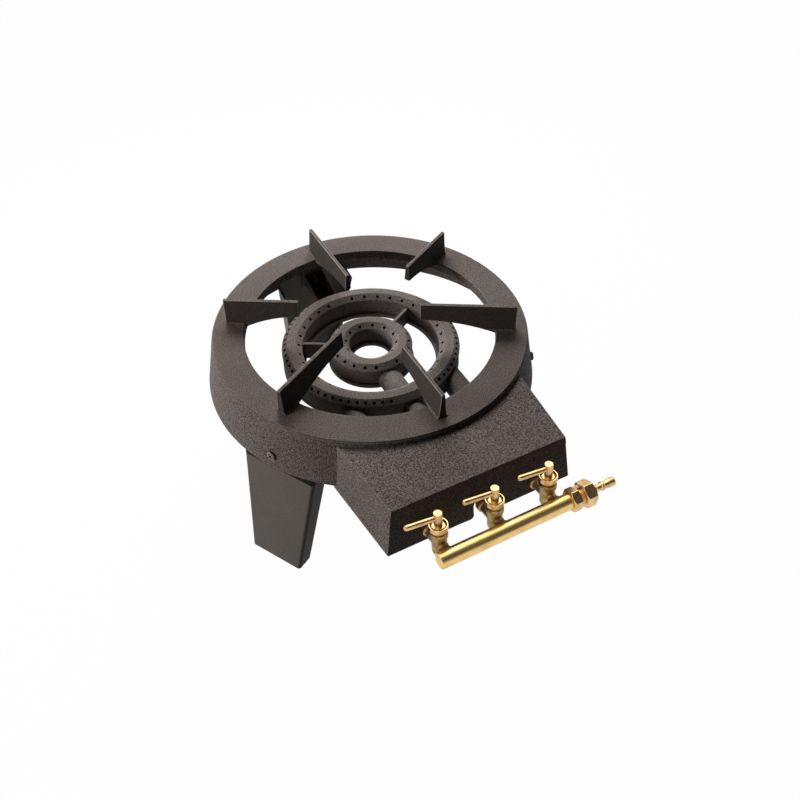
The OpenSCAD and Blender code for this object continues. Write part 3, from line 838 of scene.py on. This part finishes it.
@dataclass
class Stand:
    """Cast body on three folded legs, with its screws and nuts.

    The recess and the rim of a screw head get painted shade at these depths below its top.
    """

    body_rounding: float = 0.9
    leg_rounding: float = 0.5
    screw_rounding: float = 0.3
    recess_radius: float = 3.0
    recess_top: float = 0.5
    recess_bottom: float = 2.5
    rim_shadow_radius: float = 4.0
    rim_shadow_depth: float = 1.7
    end_share: int = 12
    end_least: int = 4

    def build(self, shop: Shop) -> None:
        """Makes the pieces of the stand."""
        Casting("body_casting", "body", IRON_BODY, Slot.BODY, self.body_rounding).build(shop)
        for side in ("left", "right", "rear"):
            # Only the left and right legs get painted shade under the skirt.
            paint = SHEET_PAINT if side == "rear" else LEG_PAINT
            self._sheet(f"leg_{side}", paint).build(shop)
        for node in ("leg_nuts", "burner_bolts"):
            Casting(f"{node}_set", node, STEEL, Slot.STEEL, self.screw_rounding).build(shop)
        shop.piece("leg_screws_set", self._screws("leg_screws"), STEEL, Slot.STEEL, "leg_screws")
        self._sheet("rear_bracket", SHEET_PAINT).build(shop)

    def _sheet(self, node: str, paint: SheetPaint) -> Casting:
        """A folded sheet."""
        return Casting(f"{node}_sheet", node, paint, Slot.LEG, self.leg_rounding)

    def _screws(self, node: str) -> BMesh:
        """Screws whose cross recesses and head rims are marked for painted shade."""
        mesh = soften(solid_of(node), self.screw_rounding)
        layer = mesh.verts.layers.float.new(SHADE)
        for screw in islands(mesh):
            tip, axis = self._outward(screw)
            top = max((vert.co - tip).dot(axis) for vert in screw)
            for vert in screw:
                along = (vert.co - tip).dot(axis)
                off = (vert.co - tip - axis * along).length
                depth = top - along
                # Painted shade in the cross recess, and a painted shadow round the rim of the head.
                recess = self.recess_top * MM < depth < self.recess_bottom * MM
                hollow_shade = off < self.recess_radius * MM and recess
                shadowed_rim = off > self.rim_shadow_radius * MM and depth > self.rim_shadow_depth * MM
                vert[layer] = 1.0 if hollow_shade or shadowed_rim else 0.0
        return mesh

    def _outward(self, screw: Sequence[BMVert]) -> tuple[Vector, Vector]:
        """Inner end of a screw, and its direction away from the middle of the stand."""
        reach = sorted(screw, key=lambda vert: vert.co.xy.length)
        count = max(len(reach) // self.end_share, self.end_least)
        inner = sum((vert.co for vert in reach[:count]), Vector()) / count
        outer = sum((vert.co for vert in reach[-count:]), Vector()) / count
        return inner, (outer - inner).normalized()


@dataclass
class Burner:
    """Burner casting with its two drilled caps.

    A face of a cap belongs to a port when its normal turns sideways by more than a share.
    """

    base_rounding: float = 0.7
    cap_rounding: float = 0.35
    port_turn: float = 0.1

    def build(self, shop: Shop) -> None:
        """Makes the pieces of the burner."""
        iron = IRON_BURNER, Slot.BURNER
        Casting("burner_casting", "burner_base", *iron, self.base_rounding).build(shop)
        for size in ("large", "centre"):
            node = f"{size}_ring_cap"
            shop.piece(f"{size}_cap", self._cap(node), *iron, node)

    def _cap(self, node: str) -> BMesh:
        """Round cap whose port walls are marked for painted shade."""
        mesh = soften(solid_of(node), self.cap_rounding)
        layer = mesh.faces.layers.float.new(SHADE)
        low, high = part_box(node)
        middle = (low + high) / 2
        for face in mesh.faces:
            arm = face.calc_center_median() - middle
            around = Vector((-arm.y, arm.x, 0)).normalized()
            # Port walls get painted shade.
            face[layer] = 1.0 if abs(face.normal.dot(around)) > self.port_turn else 0.0
        return mesh


@dataclass
class Taps:
    """Three lever taps with their nuts, washers and injectors."""

    lever_rise: float = 34.4
    lever_turn: float = 7.0
    lever_length: float = 33.4
    lever_radius: float = 2.8
    lever_root: float = 2.7
    lever_rounding: float = 0.1
    dome_steps: int = 6
    collar_radius: float = 9.3
    collar_bore: float = 8.26
    collar_lip: float = 8.0
    collar_top: float = 26.0
    collar_height: float = 5.4
    lip_height: float = 1.2
    manifold_gap: float = 18.7
    manifold_radius: float = 8.3
    flare_start: float = 6.4
    flare_radius: float = 5.3
    flare_spread: float = 2.3
    flare_curve: float = 2.5
    swell: float = 1.2
    swell_curve: int = 3
    flare_overlap: float = 0.35
    flare_steps: int = 8
    flare_points: int = 48
    cast_rounding: float = 0.6
    turned_rounding: float = 0.35
    washer_rounding: float = 0.05

    def stem_place(self, side: str) -> Matrix:
        """Frame of a tap: origin on the stem axis at the outlet, Z up the stem, Y to the panel."""
        joint = next(j for j in frame["joints"] if j["name"] == f"{side}_tap_turn")
        up = Vector(joint["axis"]).normalized()
        across = Vector((1, 0, 0))
        spot = Vector(joint["pos_m"]) - up * (self.lever_rise * MM)
        return frame_at(spot, across, up.cross(across), up)

    def build(self, shop: Shop) -> None:
        """Makes the pieces of the taps."""
        sides = ("left", "middle", "right")
        turned = TURNED_BRASS, Slot.TURNED
        for side in sides:
            node = f"tap_body_{side}"
            mesh = join(soften(solid_of(node), self.cast_rounding), self._flare(side))
            shop.piece(f"tap_{side}_casting", mesh, CAST_BRASS, Slot.TAP, node)
            node = f"tap_plug_{side}"
            Casting(f"tap_{side}_stem", node, *turned, self.turned_rounding).build(shop)
            shop.piece(f"tap_{side}_rod", self._rod(side), *turned, f"tap_lever_{side}")
        collars = join(*(self._collar(side) for side in sides))
        shop.piece("gland_nut_set", collars, *turned, "gland_nuts")
        for node in ("lock_nuts", "injectors"):
            Casting(f"{node}_set", node, *turned, self.turned_rounding).build(shop)
        dark = WASHER_STEEL, Slot.STEEL
        Casting("spring_washer_set", "spring_washers", *dark, self.washer_rounding).build(shop)

    def _rod(self, side: str) -> BMesh:
        """Lever rod with a domed end, lying to the left of its stem."""
        radius, length, root = self.lever_radius, self.lever_length, self.lever_root
        turns = [math.radians(90 / self.dome_steps * step) for step in range(self.dome_steps + 1)]
        dome = [(radius * math.sin(a), length - radius + radius * math.cos(a)) for a in turns]
        outline = [(0.0, -root), (radius, -root)] + dome[::-1]
        swing = Matrix.Rotation(math.radians(-self.lever_turn), 4, "Z")
        aim = swing @ Matrix.Rotation(math.radians(-90), 4, "Y")
        rise = Matrix.Translation((0, 0, self.lever_rise * MM))
        return lathe(outline, self.stem_place(side) @ rise @ aim, self.lever_rounding)

    def _collar(self, side: str) -> BMesh:
        """Gland nut with a turned-in lip."""
        top, low = self.collar_top, self.collar_top - self.collar_height
        outline = [
            (self.collar_bore, low),
            (self.collar_radius, low),
            (self.collar_radius, top),
            (self.collar_lip, top),
            (self.collar_lip, top - self.lip_height),
            (self.collar_bore, top - self.lip_height),
        ]
        return lathe(outline, self.stem_place(side), self.turned_rounding)

    def _flare(self, side: str) -> BMesh:
        """Brazed fillet that spreads from the tap inlet over the manifold."""
        rows = []
        for step in range(self.flare_steps + 1):
            share = step / self.flare_steps
            spread = self.flare_spread * share**self.flare_curve
            reach = self.flare_radius + spread + self.swell * (1 - share) ** self.swell_curve
            row = []
            for index in range(self.flare_points):
                turn = math.tau * index / self.flare_points
                x, z = reach * math.cos(turn), reach * math.sin(turn)
                wall = self.manifold_gap - math.sqrt(self.manifold_radius**2 - z * z)
                end = wall + self.flare_overlap
                row.append(Vector((x, -(self.flare_start + (end - self.flare_start) * share), z)))
            rows.append(row)
        return skin(rows, self.stem_place(side))


@dataclass
class HoseEnd:
    """Manifold tube with its closed end, and the hose connection on the other."""

    tube_radius: float = 8.3
    tube_bore: float = 6.3
    tube_rounding: float = 0.5
    fit: float = 0.02
    plug_depth: float = 1.8
    plug_rounding: float = 0.25
    stub: float = 6.0
    collar_flats: float = 21.0
    collar_length: float = 10.0
    collar_bore: float = 6.5
    neck_radius: float = 7.0
    neck_start: float = 0.5
    neck_tip: float = 6.8
    neck_chamfer: float = 0.4
    thread_radius: float = 8.0
    thread_root: float = 7.1
    thread_length: float = 10.4
    thread_pitch: float = 1.5
    thread_start: float = 0.5
    thread_runout: float = 1.0
    thread_rounding: float = 0.15
    bore: float = 3.5
    nut_flats: float = 24.0
    nut_length: float = 12.5
    chamfer_start: float = 0.96
    chamfer_slope: float = 0.6
    chamfer_steps: int = 6
    flange_radius: float = 7.6
    flange_depth: float = 2.5
    tail_shank: float = 4.45
    tail_root: float = 3.8
    tail_crest: float = 4.75
    tail_bore: float = 2.3
    tail_past_nut: tuple[float, ...] = (5.0, 6.0, 11.0, 12.4, 13.9, 14.9, 17.0)
    tail_flare: float = 7.0
    tail_nose: float = 1.6
    tail_rounding: float = 0.5
    seal_rounding: float = 0.2

    def line_place(self, node: str) -> Matrix:
        """Frame along the manifold axis, Z to the right, origin at the left end of a node."""
        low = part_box(node)[0]
        pipe_low, pipe_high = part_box("manifold_tube")
        axis = (pipe_low + pipe_high) / 2
        spot = Matrix.Translation((low.x, axis.y, axis.z))
        return spot @ Matrix.Rotation(math.radians(90), 4, "Y")

    def build(self, shop: Shop) -> None:
        """Makes the pieces of the gas line."""
        for name, node, mesh, finish, slot in (
            ("manifold_pipe", "manifold_tube", self._pipe(), TUBE_BRASS, Slot.TUBE),
            ("manifold_end", "manifold_plug", self._end(), TUBE_BRASS, Slot.TUBE),
            ("hose_adapter_hex", "hose_adapter", self._adapter(), TURNED_BRASS, Slot.TURNED),
            ("union_nut_hex", "union_nut", self._nut(), TURNED_BRASS, Slot.TURNED),
            ("hose_barb", "hose_tail", self._barb(), TURNED_BRASS, Slot.TURNED),
        ):
            shop.piece(name, mesh, finish, slot, node)
        Casting("seal_ring", "sealing_washer", SEAL, Slot.SEAL, self.seal_rounding).build(shop)

    def _pipe(self) -> BMesh:
        """Drawn tube with broken end edges."""
        low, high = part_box("manifold_tube")
        bore, radius, length = self.tube_bore, self.tube_radius, (high.x - low.x) / MM
        outline = [(bore, 0.0), (radius, 0.0), (radius, length), (bore, length)]
        return lathe(outline, self.line_place("manifold_tube"), self.tube_rounding, RING_POINTS)

    def _end(self) -> BMesh:
        """Disc brazed into the left end of the tube."""
        radius, depth = self.tube_bore - self.fit, self.plug_depth
        outline = [(0.0, 0.0), (radius, 0.0), (radius, depth), (0.0, depth)]
        return lathe(outline, self.line_place("manifold_plug"), self.plug_rounding, RING_POINTS)

    def _adapter(self) -> BMesh:
        """Hexagon collar with a threaded neck and a stub in the tube."""
        place = self.line_place("hose_adapter")
        plug, neck = self.tube_bore - self.fit, self.stub + self.neck_start
        collar = self.stub + self.collar_length
        end = collar + self.thread_length
        outline = [(self.bore, 0.0), (plug, 0.0), (plug, neck), (self.neck_radius, neck)]
        outline.append((self.neck_radius, collar))
        for turn in range(int((self.thread_length - self.thread_runout) / self.thread_pitch)):
            at = collar + self.thread_start + turn * self.thread_pitch
            outline += [(self.thread_root, at), (self.thread_radius, at + self.thread_pitch / 2)]
        outline.append((self.thread_root, end - self.neck_chamfer))
        outline += [(self.neck_tip, end), (self.bore, end)]
        ring = self._hexagon_ring(place, self.stub, collar, self.collar_flats, self.collar_bore)
        return join(ring, lathe(outline, place, self.thread_rounding))

    def _hexagon_ring(
        self, place: Matrix, low: float, high: float, flats: float, bore: float
    ) -> BMesh:
        """Hexagon with a round bore and chamfered corners.

        Args:
            place: Frame along the line.
            low: Start along the line in millimetres.
            high: End along the line in millimetres.
            flats: Width across the flats in millimetres.
            bore: Radius of the bore in millimetres.

        Returns:
            The closed ring.
        """
        inner = flats / 2 * self.chamfer_start
        rest = flats / 2 / math.cos(HEXAGON_SIDE / 2) - inner
        cut = rest * self.chamfer_slope
        shares = [step / self.chamfer_steps for step in range(self.chamfer_steps + 1)]
        rows = [hexagon(math.inf, bore, low)]
        rows += [hexagon(flats, inner + rest * share, low + cut * share) for share in shares]
        rows += [hexagon(flats, inner + rest * share, high - cut * share) for share in shares[::-1]]
        rows.append(hexagon(math.inf, bore, high))
        return skin(rows, place, looped=True)

    def _nut(self) -> BMesh:
        """Union nut with chamfered ends."""
        place, bore = self.line_place("union_nut"), self.thread_radius + self.fit
        return self._hexagon_ring(place, 0.0, self.nut_length, self.nut_flats, bore)

    def _barb(self) -> BMesh:
        """Hose tail: flange in the nut, shank, middle crest and flared end."""
        low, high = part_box("hose_tail")
        nut_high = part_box("union_nut")[1]
        last = (high.x - low.x) / MM
        face = (nut_high.x - low.x) / MM
        flange, depth, bore = self.flange_radius, self.flange_depth, self.tail_bore
        shank, root, crest = self.tail_shank, self.tail_root, self.tail_crest
        outline = [(bore, 0.0), (flange, 0.0), (flange, depth), (shank, depth)]
        radii = (shank, root, root, crest, crest, root, root)
        outline += [(radius, face + past) for radius, past in zip(radii, self.tail_past_nut)]
        outline += [(crest, last - self.tail_flare), (crest, last - self.tail_nose)]
        outline += [(crest - self.tail_nose, last), (bore, last)]
        return lathe(outline, self.line_place("hose_tail"), self.tail_rounding)


@dataclass(frozen=True)
class Lamp:
    """A soft lamp: its place and size in metres and its power in watts."""

    name: str
    spot: Spot
    size: Point
    power: float

    def build(self, aim: Spot) -> None:
        """Makes the lamp, facing a spot and left out of what the metal mirrors."""
        data = bpy.data.lights.new(self.name, "AREA")
        data.shape = "RECTANGLE"
        data.size, data.size_y = self.size
        data.energy = self.power
        lamp = bpy.data.objects.new(self.name, data)
        lamp.location = self.spot
        lamp.rotation_mode = "QUATERNION"
        lamp.rotation_quaternion = (Vector(aim) - Vector(self.spot)).to_track_quat("-Z", "Y")
        lamp.visible_glossy = False
        bpy.context.scene.collection.objects.link(lamp)


@dataclass
class Studio:
    """Pale floor, soft lamps, white surround and the camera of the photograph."""

    floor_half: float = 4.0
    floor_tone: float = 0.4
    floor_seen: float = 0.985
    floor_mirrored: float = 0.9
    glow: float = 0.006
    glow_colour: Colour = (0.97, 0.98, 1.0, 1.0)
    dim: float = 0.05
    dim_side: Spot = (0.33, -0.54, 0.775)
    dim_band: Band = (0.66, 0.94)
    bright: float = 2.4
    bright_side: Spot = (0.13, 0.6, 0.79)
    bright_band: Band = (0.86, 0.96)
    lamps: tuple[Lamp, ...] = (
        Lamp("rear_softbox", (0.25, 0.72, 0.88), (0.8, 0.6), 22.0),
        Lamp("side_softbox", (-1.6, 0.35, 0.6), (0.6, 0.35), 32.0),
    )
    lamp_aim: Spot = (0.0, 0.0, 0.15)
    eye: Spot = (-291.99, -618.94, 780.54)
    azimuth: float = -28.0125
    elevation: float = 45.8154
    roll: float = 0.0452
    focal_pixels: float = 796.836
    image_pixels: float = 800.0
    middle: Point = (399.584, 400.789)
    sensor: float = 36.0
    clip: Band = (0.01, 50.0)

    def build(self) -> None:
        """Makes the set."""
        self._floor()
        self._world()
        for lamp in self.lamps:
            lamp.build(self.lamp_aim)
        self._camera()
        bpy.context.scene.view_settings.view_transform = "Standard"

    def _path(self, graph: Graph) -> tuple[Value, Value]:
        """Rays from the camera, and rays that metal and glass send on."""
        path = graph.node("ShaderNodeLightPath")
        kinds = ("Is Camera Ray", "Is Glossy Ray", "Is Transmission Ray")
        eye, glossy, through = (Value(graph, path.outputs[kind]) for kind in kinds)
        return eye, glossy + through

    def _floor(self) -> None:
        """Pale floor that shows as white and keeps a soft shadow."""
        mesh = bmesh.new()
        bmesh.ops.create_grid(mesh, x_segments=1, y_segments=1, size=self.floor_half)
        data = bpy.data.meshes.new("studio_floor")
        mesh.to_mesh(data)
        mesh.free()
        floor = bpy.data.objects.new("studio_floor", data)
        bpy.context.scene.collection.objects.link(floor)
        material, graph = new_graph("pale_floor")
        lit = graph.node("ShaderNodeBsdfDiffuse", None, {"Color": (self.floor_tone,) * 3 + (1.0,)})
        white = graph.node("ShaderNodeEmission", None, {"Color": WHITE, "Strength": 1.0})
        eye, mirrored = self._path(graph)
        share = eye * self.floor_seen + mirrored * self.floor_mirrored
        graph.output(graph.blend(share, lit, white))
        data.materials.append(material)

    def _world(self) -> None:
        """White surround that lights as a dim glow, with a dark and a bright side for the metal."""
        world = bpy.data.worlds.new("white_surround")
        world.use_nodes = True
        graph = Graph(world.node_tree)
        aim = graph.node("ShaderNodeTexCoord").outputs["Generated"]
        steps = []
        for side, band in ((self.dim_side, self.dim_band), (self.bright_side, self.bright_band)):
            facing = {0: aim, 1: side}
            node = graph.node("ShaderNodeVectorMath", {"operation": "DOT_PRODUCT"}, facing)
            steps.append(Value(graph, node.outputs["Value"]).between(*band))
        sky = 1 - steps[0] * (1 - self.dim) + steps[1] * self.bright
        glow, mirror, white = (
            graph.node("ShaderNodeBackground", None, {"Color": colour, "Strength": strength})
            for colour, strength in ((self.glow_colour, self.glow), (WHITE, sky), (WHITE, 1.0))
        )
        eye, mirrored = self._path(graph)
        shader = graph.blend(eye, graph.blend(mirrored, glow, mirror), white)
        graph.output(shader, "ShaderNodeOutputWorld")
        bpy.context.scene.world = world

    def _camera(self) -> None:
        """Sets the camera at the viewing angle of the photograph."""
        data = bpy.data.cameras.new("photo_camera")
        data.sensor_fit = "HORIZONTAL"
        data.sensor_width = self.sensor
        data.lens = self.focal_pixels * self.sensor / self.image_pixels
        half = self.image_pixels / 2
        data.shift_x = (half - self.middle[0]) / self.image_pixels
        data.shift_y = (self.middle[1] - half) / self.image_pixels
        data.clip_start, data.clip_end = self.clip
        turn, tilt, lean = (math.radians(a) for a in (self.azimuth, self.elevation, self.roll))
        reach = math.cos(tilt)
        back = Vector((math.sin(turn) * reach, -math.cos(turn) * reach, math.sin(tilt)))
        flat = Vector((math.cos(turn), math.sin(turn), 0))
        rise = back.cross(flat)
        right = math.cos(lean) * flat + math.sin(lean) * rise
        above = math.cos(lean) * rise - math.sin(lean) * flat
        low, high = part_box("large_ring_cap")
        spot = Vector(self.eye) * MM + Vector((0, (low.y + high.y) / 2, 0))
        camera = bpy.data.objects.new("photo_camera", data)
        camera.matrix_world = frame_at(spot, right, above, back)
        bpy.context.scene.collection.objects.link(camera)
        bpy.context.scene.camera = camera


def main() -> None:
    """Builds the sub-assemblies in order, then the studio."""
    logging.basicConfig(level=logging.INFO, format="%(name)s %(message)s")
    shop = Shop()
    for part in (Stand(), Burner(), Taps(), HoseEnd()):
        part.build(shop)
    Studio().build()


if __name__ == "__main__":
    main()
